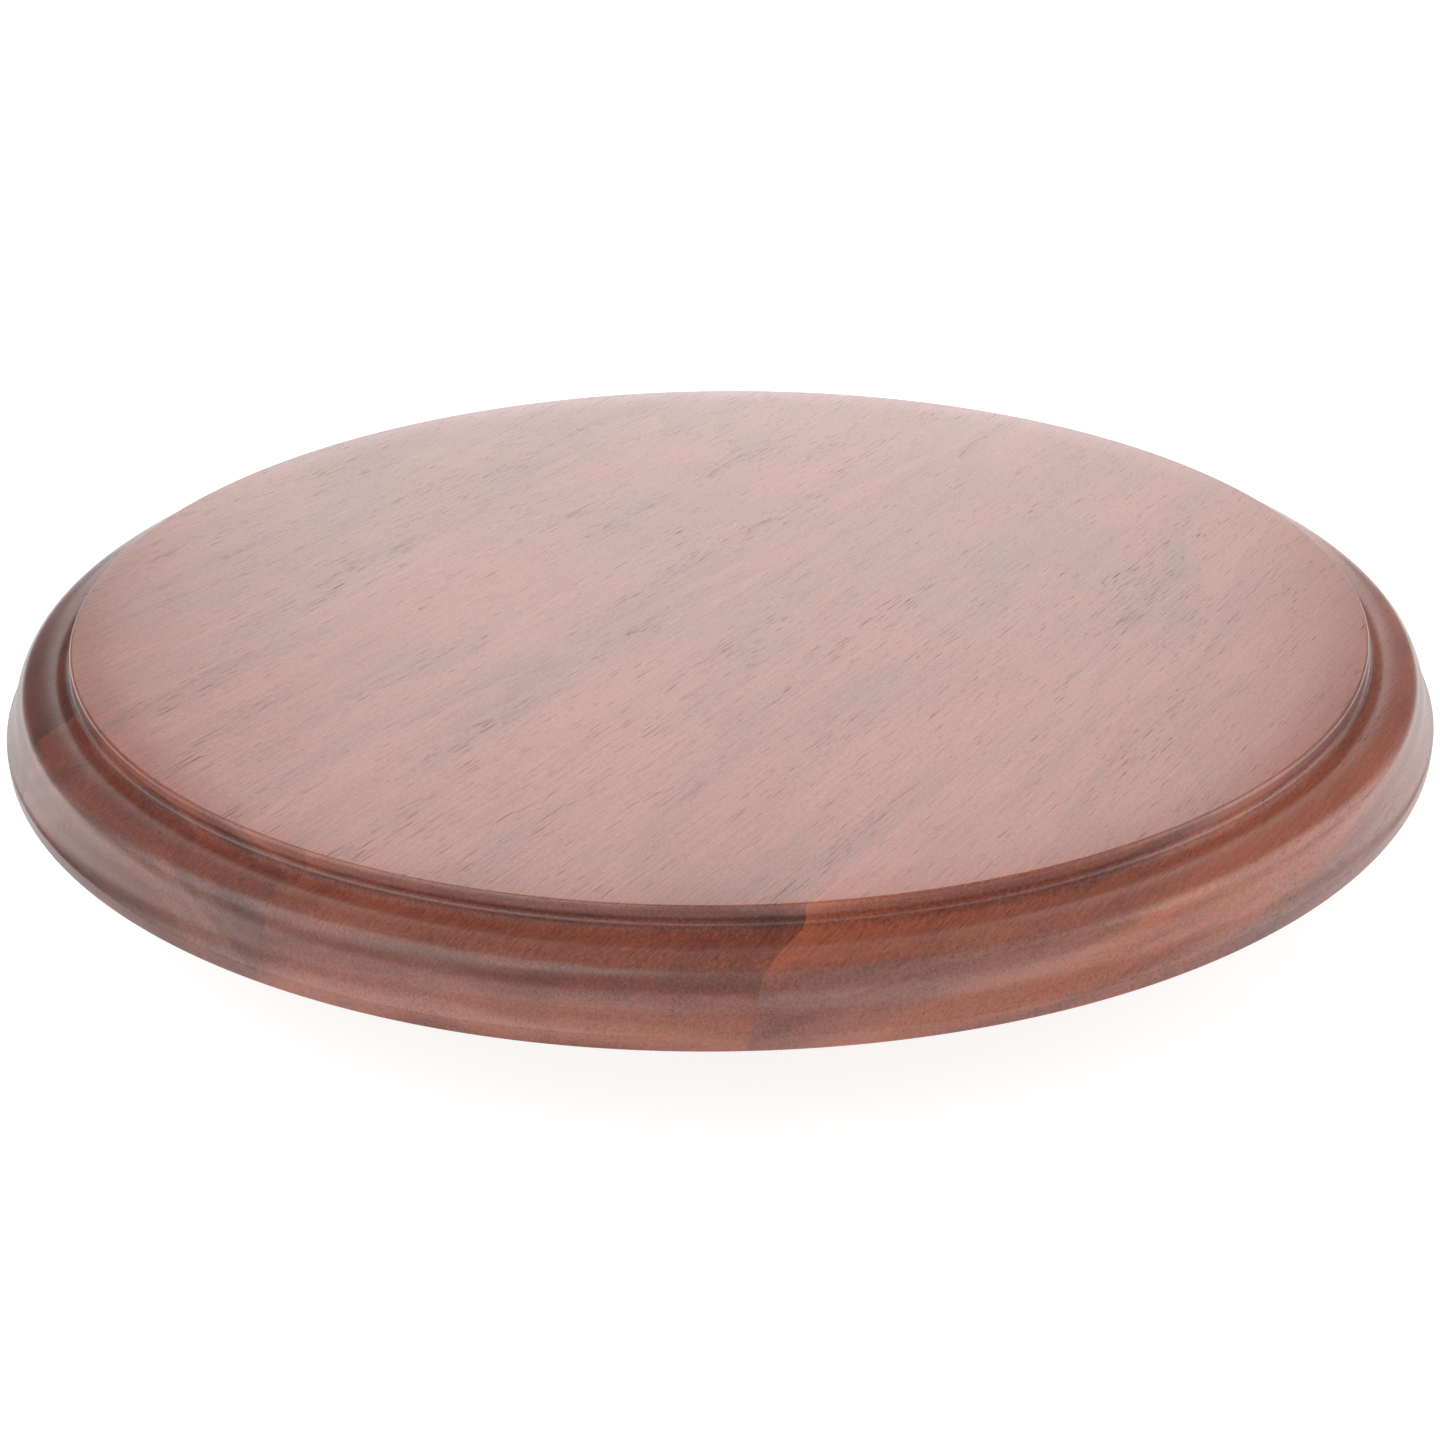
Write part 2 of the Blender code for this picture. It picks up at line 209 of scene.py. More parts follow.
class Graph:
    """Short calls for building one material's node tree."""

    def __init__(self, name):
        self.material = bpy.data.materials.new(name)
        self.material.use_nodes = True
        self.tree = self.material.node_tree
        self.shader = self.tree.nodes["Principled BSDF"]

    def put(self, socket, value):
        if isinstance(value, bpy.types.NodeSocket):
            self.tree.links.new(value, socket)
        elif isinstance(value, tuple) and len(value) == 3 and socket.type == "RGBA":
            socket.default_value = (*value, 1)
        else:
            socket.default_value = value

    def node(self, kind, inputs, output=0, **settings):
        made = self.tree.nodes.new("ShaderNode" + kind)
        for key, value in settings.items():
            setattr(made, key, value)
        for key, value in inputs.items():
            self.put(made.inputs[key], value)
        return made.outputs[output]

    def math(self, operation, a, b=0.0):
        return self.node("Math", {0: a, 1: b}, operation=operation)

    def add(self, a, b):
        return self.math("ADD", a, b)

    def times(self, a, b):
        return self.math("MULTIPLY", a, b)

    def vector(self, x, y, z):
        return self.node("CombineXYZ", {0: x, 1: y, 2: z})

    def parts(self, vector):
        """A vector's three components."""
        return tuple(self.node("SeparateXYZ", {0: vector}).node.outputs)

    def noise(self, vector, scale=1.0, detail=2.0, roughness=0.5, distortion=0.0, output=0):
        inputs = {"Vector": vector, "Scale": scale, "Detail": detail, "Roughness": roughness,
                  "Distortion": distortion}
        return self.node("TexNoise", inputs, output)

    def between(self, value, low, high, to_low=0.0, to_high=1.0):
        """The value's place between low and high, smoothed and clamped, on to_low..to_high."""
        inputs = {
            "Value": value, "From Min": low, "From Max": high, "To Min": to_low, "To Max": to_high,
        }
        return self.node("MapRange", inputs, interpolation_type="SMOOTHSTEP")

    def ramp(self, value, stops):
        made = self.tree.nodes.new("ShaderNodeValToRGB")
        elements = made.color_ramp.elements
        while len(elements) < len(stops):
            elements.new(0.5)
        for element, (place, colour) in zip(elements, stops):
            element.position = place
            element.color = (*colour, 1)
        self.put(made.inputs[0], value)
        return made.outputs[0]

    def mix(self, share, a, b, blend="MIX"):
        made = self.tree.nodes.new("ShaderNodeMix")
        made.data_type = "RGBA"
        made.blend_type = blend
        self.put(made.inputs[0], share)
        self.put(made.inputs[6], a)
        self.put(made.inputs[7], b)
        return made.outputs[2]

    def bump(self, height, distance, strength=1.0, under=None):
        """Relief of the given depth in millimetres."""
        inputs = {"Height": height, "Distance": distance * MM, "Strength": strength}
        if under is not None:
            inputs["Normal"] = under
        return self.node("Bump", inputs)

    def millimetres(self, turn=0.0):
        """Object coordinates in millimetres, turned about Z so that X runs at that angle."""
        place = self.node("TexCoord", {}, "Object")
        inputs = {"Vector": place, "Scale": (1 / MM,) * 3, "Rotation": (0, 0, -turn)}
        return self.node("Mapping", inputs)

    def surface(self, **inputs):
        for key, value in inputs.items():
            self.put(self.shader.inputs[key.replace("_", " ")], value)
        return self.material


# ---------------------------------------------------------------- walnut

TOP_GRAIN = math.radians(57)
BASE_GRAIN = math.radians(-24)
# A board's staves, in millimetres across its grain: the joints between them and, for each stave, where its
# growth rings' centre lies, across and in height, and how much darker or lighter it is than the others. The
# tone is partly the wood's own and partly painted shade: the top board's dark left staves stand where less
# light falls.
TOP_STAVES = {
    "joints": (-85.0, -4.0, 76.5),
    "ring_across": (-135.0, -50.0, 38.0, 128.0),
    "ring_height": (-60.0, -74.0, -52.0, -66.0),
    "tone": (-0.04, -0.20, -0.28, -0.50),
}
BASE_STAVES = {
    "joints": (-38.0, 41.0),
    "ring_across": (-80.0, 6.0, 66.0),
    "ring_height": (-58.0, -70.0, -49.0),
    "tone": (-0.04, 0.03, -0.02),
}
# How far apart in the noise two neighbouring staves lie, so that their figures don't match.
STAVE_SHIFT = 371.0
# Below this height, in millimetres, a stave's tone shows in full, so that on the top board's moulding the
# left staves carry painted shade.
EDGE_TOP = (BOARD_HIGH.z - 1.5 * MM) / MM
# Below that height, wood nearer the axis than this is out of a polishing pad's reach: the cove and the base.
POLISHED_FROM = 138.9
RED_WOOD = [
    (0.0, (0.070, 0.014, 0.008)), (0.3, (0.165, 0.040, 0.022)),
    (0.6, (0.295, 0.084, 0.047)), (1.0, (0.440, 0.146, 0.086)),
]
GREY_WOOD = [
    (0.0, (0.050, 0.020, 0.018)), (0.3, (0.115, 0.044, 0.036)),
    (0.6, (0.225, 0.085, 0.062)), (1.0, (0.355, 0.150, 0.106)),
]
PORE_COLOUR = (0.020, 0.008, 0.006)
END_GRAIN_TINT = (0.52, 0.36, 0.30)


class Walnut(Graph):
    """The fields that a board's wood is made from: X runs along its grain, Y across it, in millimetres."""

    def __init__(self, name, grain, staves):
        super().__init__(name)
        self.staves = staves
        self.place = self.millimetres(grain)
        self.x, self.y, self.z = self.parts(self.place)
        numbers = tuple(float(i) for i in range(len(staves["tone"])))
        self.own = self.times(self.by_stave(numbers), STAVE_SHIFT)
        self.radius = self.ring_radius()
        self.facing = self.node("TexCoord", {}, "Normal")
        self.facing_up = self.parts(self.facing)[2]
        level = self.math("POWER", self.math("ABSOLUTE", self.facing_up), 3.0)
        self.side = self.math("SUBTRACT", 1.0, level)
        self.edge = self.between(self.z, EDGE_TOP, EDGE_TOP - 1.0)

    def by_stave(self, values):
        """A value that changes at each joint."""
        total = values[0]
        for joint, before, after in zip(self.staves["joints"], values, values[1:]):
            past_joint = self.math("GREATER_THAN", self.y, joint)
            total = self.add(total, self.times(past_joint, after - before))
        return total

    def fibres(self, along, across, own=False, **settings):
        """Noise stretched along the grain; with own, each stave has its own."""
        sideways = self.times(self.y, across)
        if own:
            sideways = self.add(sideways, self.own)
        place = self.vector(self.times(self.x, along), sideways, self.times(self.z, across))
        return self.noise(place, **settings)

    def ring_radius(self):
        """The distance from the middle of the stave's growth rings, which sway along the grain."""
        along = self.add(self.times(self.x, 0.006), self.own)
        place = self.vector(along, self.times(self.y, 0.012), self.times(self.z, 0.012))
        sway_across, sway_up, _ = self.parts(self.noise(place, detail=2, output=1))
        across = self.math("SUBTRACT", self.y, self.by_stave(self.staves["ring_across"]))
        across = self.add(across, self.times(self.add(sway_across, -0.5), 26.0))
        up = self.math("SUBTRACT", self.z, self.by_stave(self.staves["ring_height"]))
        up = self.add(up, self.times(self.add(sway_up, -0.5), 34.0))
        return self.math("SQRT", self.add(self.times(across, across), self.times(up, up)))

    def late_wood(self):
        """1 in the denser line that ends each year's ring."""
        place = self.vector(self.times(self.radius, 0.06), self.own, self.times(self.x, 0.002))
        unevenness = self.times(self.noise(place, detail=1), 3.0)
        phase = self.math("FRACT", self.add(self.times(self.radius, 0.16), unevenness))
        return self.times(self.between(phase, 0.25, 0.93), self.between(phase, 1.0, 0.94))

    def shade(self, late, cluster, fine, grit):
        """How light the wood is: zones along the rings, long streaks, fine fibres and cloudy patches."""
        place = self.vector(self.times(self.radius, 0.11), self.times(self.x, 0.006), self.own)
        zones = self.noise(place, detail=3)
        place = self.vector(self.times(self.x, 0.02), self.times(self.y, 0.035), self.own)
        cloud = self.noise(place, detail=2)
        streaks = self.fibres(0.010, 0.20, own=True, detail=3)
        zone_share = self.between(self.side, 0.0, 0.8, 0.28, 1.7)
        # A fifth of each stave's tone on the top face and all of it on the moulding, where it paints shade on
        # the dark left staves.
        tone_and_painted_shade_share = self.between(self.edge, 0.0, 1.0, 0.2, 1.0)
        shade = self.add(0.63, self.times(self.add(zones, -0.5), zone_share))
        for pattern, share in ((streaks, 0.16), (fine, 0.60), (grit, 0.50), (cloud, 0.25)):
            shade = self.add(shade, self.times(self.add(pattern, -0.5), share))
        shade = self.add(shade, self.times(late, -0.06))
        shade = self.add(shade, self.times(cluster, -0.02))
        return self.add(shade, self.times(self.by_stave(self.staves["tone"]), tone_and_painted_shade_share))

    def colour(self, shade, cluster):
        """Reddish and greyish brown, which drift into each other along the rings."""
        across = self.add(self.times(self.radius, 0.09), self.own)
        place = self.vector(self.times(self.x, 0.006), across, self.times(self.x, 0.002))
        hue = self.noise(place, detail=3)
        side_share = self.between(self.side, 0.0, 0.8, 0.4, 1.0)
        greyness = self.times(self.between(hue, 0.30, 0.56), side_share)
        greyness = self.math("MINIMUM", self.add(greyness, self.times(cluster, 0.22)), 1.0)
        return self.mix(greyness, self.ramp(shade, RED_WOOD), self.ramp(shade, GREY_WOOD))

    def polish(self):
        """1 where the wood was polished, and less in the cove, on undersides and on the base."""
        out = self.math("SQRT", self.add(self.times(self.x, self.x), self.times(self.y, self.y)))
        arris = (ARRIS_RADIUS / MM, 0.0, (BOARD_HIGH.z - RIM_WALL) / MM)
        here = self.vector(out, 0.0, self.z)
        from_arris = self.node("VectorMath", {0: here, 1: arris}, 1, operation="DISTANCE")
        inside = self.between(out, POLISHED_FROM + 0.5, POLISHED_FROM - 0.7)
        inside = self.times(inside, self.between(from_arris, 0.1, 0.35))
        under = self.between(self.facing_up, -0.5, -0.8)
        dull = self.times(self.math("MAXIMUM", inside, under), self.edge)
        return self.math("SUBTRACT", 1.0, self.times(dull, 0.75))


def walnut(name, grain, staves, brightness=1.0):
    """Solid walnut staves with growth rings, streaks, pores, darker end grain and a part-polished finish."""
    g = Walnut(name, grain, staves)
    late = g.late_wood()
    cluster = g.between(g.fibres(0.014, 0.12, own=True, detail=3), 0.5, 0.68)
    fine = g.fibres(0.05, 2.0, detail=3, roughness=0.75)
    grit = g.fibres(0.9, 2.6, detail=2, roughness=0.6)
    colour = g.colour(g.shade(late, cluster, fine, grit), cluster)

    porous = g.add(g.times(cluster, 0.055), g.times(late, -0.02))
    tubes = g.fibres(0.17, 5.2, detail=1, roughness=0.4)
    pores = g.between(g.add(tubes, porous), 0.665, 0.75)
    colour = g.mix(g.times(pores, 0.55), colour, PORE_COLOUR)

    along = (math.cos(grain), math.sin(grain), 0)
    facing_along = g.node("VectorMath", {0: g.facing, 1: along}, 1, operation="DOT_PRODUCT")
    end = g.math("POWER", g.math("ABSOLUTE", facing_along), 2.0)
    colour = g.mix(g.times(end, 0.30), colour, END_GRAIN_TINT, "MULTIPLY")
    colour = g.mix(1.0, colour, (brightness,) * 3, "MULTIPLY")

    dimple = g.noise(g.place, scale=0.9, detail=3)
    nap = g.add(g.add(fine, g.times(grit, 0.5)), g.times(dimple, 0.3))
    relief = g.bump(g.times(pores, -1.0), 0.05, 0.6)
    relief = g.bump(nap, 0.010, 0.5, relief)
    rough = g.add(g.between(g.side, 0.0, 0.8, 0.38, 0.34), g.times(pores, 0.2))
    rough = g.add(rough, g.times(g.add(fine, -0.5), 0.12))
    polish = g.polish()
    gloss = g.times(g.times(g.math("SUBTRACT", 1.0, g.times(pores, 0.6)), polish), 0.5)
    return g.surface(
        Base_Color=colour, Roughness=rough, Normal=relief, IOR=1.5, Specular_IOR_Level=gloss,
        Coat_Weight=g.times(polish, 0.2), Coat_Roughness=0.24, Coat_IOR=1.5,
    )


# ---------------------------------------------------------------- other materials


def zinc_sheet(name):
    """Pressed zinc-plated steel: faint spangle, rolling lines and handling scuffs."""
    g = Graph(name)
    place = g.millimetres()
    spangle = g.node("TexVoronoi", {"Vector": place, "Scale": 0.35}, "Color", feature="F1")
    tone = g.node("SeparateColor", {0: spangle})
    rolled = g.noise(g.node("Mapping", {"Vector": place, "Scale": (0.02, 2.5, 2.5)}), detail=4)
    scuff = g.noise(place, scale=0.12, detail=6, roughness=0.7)
    shade = g.add(g.times(tone, 0.10), g.add(g.times(rolled, 0.12), g.times(scuff, 0.2)))
    colour = g.ramp(shade, [(0.05, (0.44, 0.45, 0.47)), (0.42, (0.70, 0.71, 0.72))])
    rough = g.between(g.add(g.times(rolled, 0.4), g.times(scuff, 0.6)), 0.3, 0.7, 0.26, 0.46)
    relief = g.bump(g.add(rolled, scuff), 0.015, 0.5)
    return g.surface(Base_Color=colour, Metallic=1.0, Roughness=rough, Normal=relief)


def plated_screw(name):
    """Zinc-plated screw steel with a faint yellow-blue passivation and a fine grit."""
    g = Graph(name)
    place = g.millimetres()
    film = g.noise(place, scale=0.5, detail=3)
    colour = g.ramp(film, [
        (0.3, (0.60, 0.60, 0.64)), (0.5, (0.68, 0.66, 0.60)), (0.72, (0.72, 0.64, 0.46)),
    ])
    grit = g.noise(place, scale=6.0, detail=4, roughness=0.7)
    rough = g.between(grit, 0.3, 0.7, 0.2, 0.42)
    return g.surface(Base_Color=colour, Metallic=1.0, Roughness=rough, Normal=g.bump(grit, 0.01, 0.4))


def ball_steel(name):
    """Polished bearing steel under a thin film of grease."""
    g = Graph(name)
    place = g.millimetres()
    film = g.noise(place, scale=0.6, detail=4, roughness=0.6)
    colour = g.ramp(film, [(0.3, (0.62, 0.62, 0.62)), (0.7, (0.78, 0.775, 0.75))])
    rough = g.between(film, 0.35, 0.7, 0.06, 0.22)
    return g.surface(Base_Color=colour, Metallic=1.0, Roughness=rough, Coat_Weight=0.4, Coat_Roughness=0.12)


def nylon(name):
    """Natural moulded nylon: milky, with flow lines and a fine grain."""
    g = Graph(name)
    place = g.millimetres()
    flow = g.noise(place, scale=0.08, detail=5, roughness=0.6, distortion=1.5)
    grain = g.noise(place, scale=9.0, detail=3)
    colour = g.ramp(flow, [(0.3, (0.62, 0.59, 0.50)), (0.7, (0.76, 0.74, 0.67))])
    rough = g.between(grain, 0.3, 0.7, 0.42, 0.56)
    return g.surface(
        Base_Color=colour, Roughness=rough, Normal=g.bump(grain, 0.01, 0.4), Subsurface_Weight=0.15,
        Subsurface_Radius=(0.002, 0.0018, 0.0014),
    )


def rubber(name):
    """Matt black moulded rubber with dust in its grain."""
    g = Graph(name)
    place = g.millimetres()
    grain = g.noise(place, scale=5.0, detail=5, roughness=0.65)
    dust = g.noise(place, scale=0.25, detail=4)
    colour = g.ramp(g.add(g.times(grain, 0.5), g.times(dust, 0.5)), [
        (0.35, (0.012, 0.012, 0.013)), (0.62, (0.030, 0.029, 0.028)), (0.8, (0.075, 0.072, 0.068)),
    ])
    rough = g.between(dust, 0.35, 0.7, 0.62, 0.85)
    return g.surface(Base_Color=colour, Roughness=rough, Normal=g.bump(grain, 0.05, 0.6))


# ---------------------------------------------------------------- top board

BOARD_RADIUS = BOARD_HIGH.x
RIM_RADIUS = 135.7 * MM
RIM_EASE = 0.7 * MM
RIM_WALL = 3.1 * MM
ARRIS_RADIUS = 136.15 * MM
ARRIS_DROP = 0.5 * MM
ARRIS_EASE = 0.15 * MM
COVE_WIDTH = 3.05 * MM
COVE_DEPTH = 1.6 * MM
COVE_START = math.pi + 0.35
CROWN_CURVE = 15 * MM
CROWN_ANGLE = math.radians(21)
SHOULDER_CURVE = 3.4 * MM
SHOULDER_ANGLE = math.radians(30)
BELLY_CURVE = 11 * MM
WAIST_ANGLE = math.radians(10.5)
FLARE_ANGLE = math.radians(36)
FOOT_BAND = 3.1 * MM
FOOT_EASE = 0.6 * MM
FLAT_UNDERSIDE_RADIUS = BOARD_RADIUS - 3 * MM
BOARD_SEGMENTS = 360


def follow(path, radius, end, steps, hollow=False):
    """Carries a path of (points, angle of its outward side) on round an arc to a new angle."""
    points, start = path
    reach = -radius if hollow else radius
    centre = (points[-1][0] - reach * math.cos(start), points[-1][1] - reach * math.sin(start))
    turn = math.pi if hollow else 0
    made = arc(centre, radius, start + turn, end + turn, steps)
    return points + made[1:], end


def moulded_edge(bottom, top):
    """The board's outer outline from the top rim down to the underside."""
    arris = top - RIM_WALL
    ease = arc((RIM_RADIUS - RIM_EASE, top - RIM_EASE), RIM_EASE, math.pi / 2, 0, 8)
    rim_foot = (RIM_RADIUS, arris + ARRIS_RADIUS - RIM_RADIUS)
    wall = [ease[-1], rim_foot, (ARRIS_RADIUS, arris), (ARRIS_RADIUS, arris - ARRIS_DROP)]
    wall = rounded(wall, ARRIS_EASE)
    cove_centre = (ARRIS_RADIUS + COVE_WIDTH, arris)
    cove = arc(cove_centre, (COVE_WIDTH, COVE_DEPTH), COVE_START, 1.5 * math.pi, 12)
    path = ([cove[-1]], math.pi / 2)
    path = follow(path, CROWN_CURVE, math.pi / 2 - CROWN_ANGLE, 10)
    path = follow(path, SHOULDER_CURVE, SHOULDER_ANGLE, 12)
    path = follow(path, BELLY_CURVE, WAIST_ANGLE, 8)
    waist = path[0][-1]
    band_top = bottom + FOOT_BAND
    hollow_curve = (waist[1] - band_top) / (math.sin(FLARE_ANGLE) - math.sin(WAIST_ANGLE))
    path = follow(path, hollow_curve, FLARE_ANGLE, 12, hollow=True)
    flare = path[0][-1]
    foot = [
        flare,
        (BOARD_RADIUS, band_top - (BOARD_RADIUS - flare[0])),
        (BOARD_RADIUS, bottom),
        (FLAT_UNDERSIDE_RADIUS, bottom),
    ]
    return ease[:-1] + wall[:-1] + cove[:-1] + path[0][:-1] + rounded(foot, FOOT_EASE, 6)


def top_board():
    """The moulded board, with a pilot hole for each screw of the upper plate."""
    top, bottom = BOARD_HIGH.z, BOARD_LOW.z
    face = spread((0, top), (RIM_RADIUS - RIM_EASE, top), 14)[:-1]
    under = spread((FLAT_UNDERSIDE_RADIUS, bottom), (0, bottom), 14)[1:]
    outline = face + moulded_edge(bottom, top) + under
    board = add_object("top_board_wood", turned("top_board_wood", outline, BOARD_SEGMENTS))
    screw_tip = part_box(UPPER_SCREWS[0])[1].z + TIP_ROOM
    cut(board, cylinders(PLATE_HOLES, PILOT_RADIUS, bottom - MM, screw_tip))
    wood = walnut("top_walnut", TOP_GRAIN, TOP_STAVES)
    show(board, ["top_board"], "top", wood)


# ---------------------------------------------------------------- base board

BASE_RADIUS = BASE_HIGH.x
BASE_ROUND = 3 * MM
BASE_BRIGHTNESS = 0.9
BASE_SEGMENTS = 288
ACCESS_RADIUS = 9.5 * MM
ACCESS_EASE = 0.5 * MM
ACCESS_SEGMENTS = 72


def base_board():
    """A plain disc with rounded edges, its pilot holes, and the hole that a screwdriver goes through."""
    top, bottom = BASE_HIGH.z, BASE_LOW.z
    upper = arc((BASE_RADIUS - BASE_ROUND, top - BASE_ROUND), BASE_ROUND, math.pi / 2, 0, 10)
    lower = arc((BASE_RADIUS - BASE_ROUND, bottom + BASE_ROUND), BASE_ROUND, 0, -math.pi / 2, 10)
    face = spread((0, top), upper[0], 10)[:-1]
    under = spread(lower[-1], (0, bottom), 10)[1:]
    outline = face + upper + lower + under
    board = add_object("base_board_wood", turned("base_board_wood", outline, BASE_SEGMENTS))
    plate_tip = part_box(LOWER_SCREWS[0])[0].z - TIP_ROOM
    cut(board, cylinders(PLATE_HOLES, PILOT_RADIUS, plate_tip, top + MM))
    foot_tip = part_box(FOOT_SCREWS[0])[1].z + TIP_ROOM
    cut(board, cylinders(FOOT_PLACES, PILOT_RADIUS, bottom - MM, foot_tip))
    access_x = Vector(PLATE_HOLES[0]).length
    wide = ACCESS_RADIUS + ACCESS_EASE
    reamer = turned("reamer", [
        (0, top + MM), (wide + MM, top + MM), (wide, top), (ACCESS_RADIUS, top - ACCESS_EASE),
        (ACCESS_RADIUS, bottom + ACCESS_EASE), (wide, bottom), (wide + MM, bottom - MM), (0, bottom - MM),
    ], ACCESS_SEGMENTS)
    cut(board, add_object("reamer", reamer, (access_x, 0, 0)))
    wood = walnut("base_walnut", BASE_GRAIN, BASE_STAVES, BASE_BRIGHTNESS)
    show(board, ["base_board"], "base", wood)


# ---------------------------------------------------------------- swivel plates

SHEET = 1 * MM
PLATE_CORNER_RADIUS = 8 * MM
RACE_SHOULDER = 1.4 * MM
TROUGH = 0.4 * MM
COLLAR_RADIUS = 46 * MM
HEM_RADIUS = 51.5 * MM
HEM_THICKNESS = 0.8 * MM
LIP_RADIUS = 47.6 * MM
BEND = 0.45 * MM
CLEAR = 0.3 * MM
SWIVEL_HEIGHT = UPPER_HIGH.z - LOWER_LOW.z
PLATE_HALF_SIDE = LOWER_HIGH.x
TURNING_SEGMENTS = 240
BLANK_RADIUS = 2 * PLATE_HALF_SIDE
# The race's ball side and its back: millimetres out from the race's middle, and rise above the flat sheet
# as a share of the shoulder's height.
BALL_SIDE = [(-3.8, 0), (-3.0, 1), (-2.1, 1), (-1.0, TROUGH / RACE_SHOULDER),
             (1.0, TROUGH / RACE_SHOULDER), (2.1, 1), (3.0, 1), (3.8, 0)]
BACK_SIDE = [(-4.2, 0), (-3.4, 1), (-2.5, 1), (-1.4, TROUGH / RACE_SHOULDER),
             (1.4, TROUGH / RACE_SHOULDER), (2.5, 1), (3.4, 1), (4.2, 0)]


def race(side, base):
    """One side of the race, from its inner edge out, above a sheet at the base height."""
    return [(RACE_RADIUS + out * MM, base + rise * RACE_SHOULDER) for out, rise in side]


def square_prism(name, half_side, corner_radius, bottom, top):
    """A square block with rounded upright edges."""
    bm = bmesh.new()
    reach = half_side - corner_radius
    verts = []
    for quarter in range(4):
        start = quarter * math.pi / 2
        cos, sin = math.cos(start), math.sin(start)
        centre = (reach * (cos - sin), reach * (sin + cos))
        corner = arc(centre, corner_radius, start, start + math.pi / 2, 12)
        verts += [bm.verts.new((x, y, bottom)) for x, y in corner]
    face = bm.faces.new(verts)
    raised = bmesh.ops.extrude_face_region(bm, geom=[face])
    up = [item for item in raised["geom"] if isinstance(item, bmesh.types.BMVert)]
    bmesh.ops.translate(bm, verts=up, vec=(0, 0, top - bottom))
    return add_object(name, finish_mesh(bm, name))


def plate(name, node, body, outline):
    """A round pressing of the given section, trimmed square and drilled at its corners."""
    section = rounded(outline, BEND, closed=True)
    piece = add_object(name, turned(name, section, TURNING_SEGMENTS, closed=True))
    low, high = LOWER_LOW.z - MM, UPPER_HIGH.z + MM
    cut(piece, square_prism("trim", PLATE_HALF_SIDE, PLATE_CORNER_RADIUS, low, high), "INTERSECT")
    cut(piece, cylinders(PLATE_HOLES, PILOT_RADIUS, low, high))
    show(piece, [node], body, PLATE_STEEL)


def swivel_plates():
    """Two pressed plates; the lower one's collar turns out over the upper one's lip and holds it down."""
    hem = SWIVEL_HEIGHT - CLEAR
    collar = [
        (COLLAR_RADIUS, 0), (COLLAR_RADIUS, hem), (HEM_RADIUS, hem), (HEM_RADIUS, hem - HEM_THICKNESS),
        (COLLAR_RADIUS + SHEET, hem - HEM_THICKNESS), (COLLAR_RADIUS + SHEET, SHEET),
    ]
    edge = [(BLANK_RADIUS, SHEET), (BLANK_RADIUS, 0)]
    lower = collar + race(BALL_SIDE, SHEET) + edge + race(BACK_SIDE, 0)[::-1]
    plate("swivel_plate_lower", "lower_plate", "base", [(r, LOWER_LOW.z + h) for r, h in lower])
    lip = [(LIP_RADIUS, RACE_SHOULDER), (LIP_RADIUS, SHEET + RACE_SHOULDER)]
    upper = lip + race(BALL_SIDE, SHEET)[2:] + edge + race(BACK_SIDE, 0)[:1:-1]
    plate("swivel_plate_upper", "upper_plate", "top", [(r, UPPER_HIGH.z - h) for r, h in upper])


# ---------------------------------------------------------------- cage and balls

CAGE_EASE = 0.35 * MM
BALL_PLAY = 0.25 * MM
BALL_SEGMENTS, BALL_RINGS = 32, 20


def ball_cage():
    """A flat ring on the race's circle, with a round pocket for each ball."""
    inner, outer = RACE_RADIUS - (CAGE_HIGH.x - RACE_RADIUS), CAGE_HIGH.x
    corners = [(inner, CAGE_LOW.z), (outer, CAGE_LOW.z), (outer, CAGE_HIGH.z), (inner, CAGE_HIGH.z)]
    section = rounded(corners, CAGE_EASE, 4, closed=True)
    cage = add_object("cage_ring", turned("cage_ring", section, TURNING_SEGMENTS, closed=True))
    places = [tuple(centre_of(node).xy) for node in BALLS]
    cut(cage, cylinders(places, BALL_RADIUS + BALL_PLAY, CAGE_LOW.z - MM, CAGE_HIGH.z + MM))
    show(cage, ["ball_cage"], "cage", nylon("cage_nylon"))


def balls():
    """One mesh for all the balls, each of which rides its own body."""
    bm = bmesh.new()
    bmesh.ops.create_uvsphere(bm, u_segments=BALL_SEGMENTS, v_segments=BALL_RINGS, radius=BALL_RADIUS)
    mesh = finish_mesh(bm, "bearing_ball", math.pi)
    steel = ball_steel("ball_steel")
    for node in BALLS:
        ball = add_object("bearing_" + node, mesh, centre_of(node))
        show(ball, [node], node, steel)


# ---------------------------------------------------------------- screws

HEAD_RADIUS = 3.8 * MM
HEAD_HEIGHT = 2.2 * MM
THREAD_RADIUS = 1.9 * MM
CORE_RADIUS = 1.3 * MM
THREAD_PITCH = 1.5 * MM
THREAD_START = 1.2 * MM
SHANK_RADIUS = CORE_RADIUS + 0.25 * MM
# Half the ridge's width at its root, as a share of the pitch.
RIDGE_HALF_WIDTH = 0.28
TAPER = 3.2 * MM
HEAD_EASE = 0.9 * MM
SCREW_SEGMENTS = 32
ROWS_PER_PITCH = 10
THREAD_SMOOTH_ANGLE = math.radians(50)
# The driver slot's half length, half width and height, at its bottom and at its open top.
SLOT_BOTTOM = (1.0 * MM, 0.26 * MM, HEAD_HEIGHT - 1.3 * MM)
SLOT_TOP = (2.3 * MM, 0.42 * MM, HEAD_HEIGHT + 0.4 * MM)
# Each screw stopped turning at an angle of its own.
FIRST_SCREW_TURN = 0.7
NEXT_SCREW_TURN = 1.3


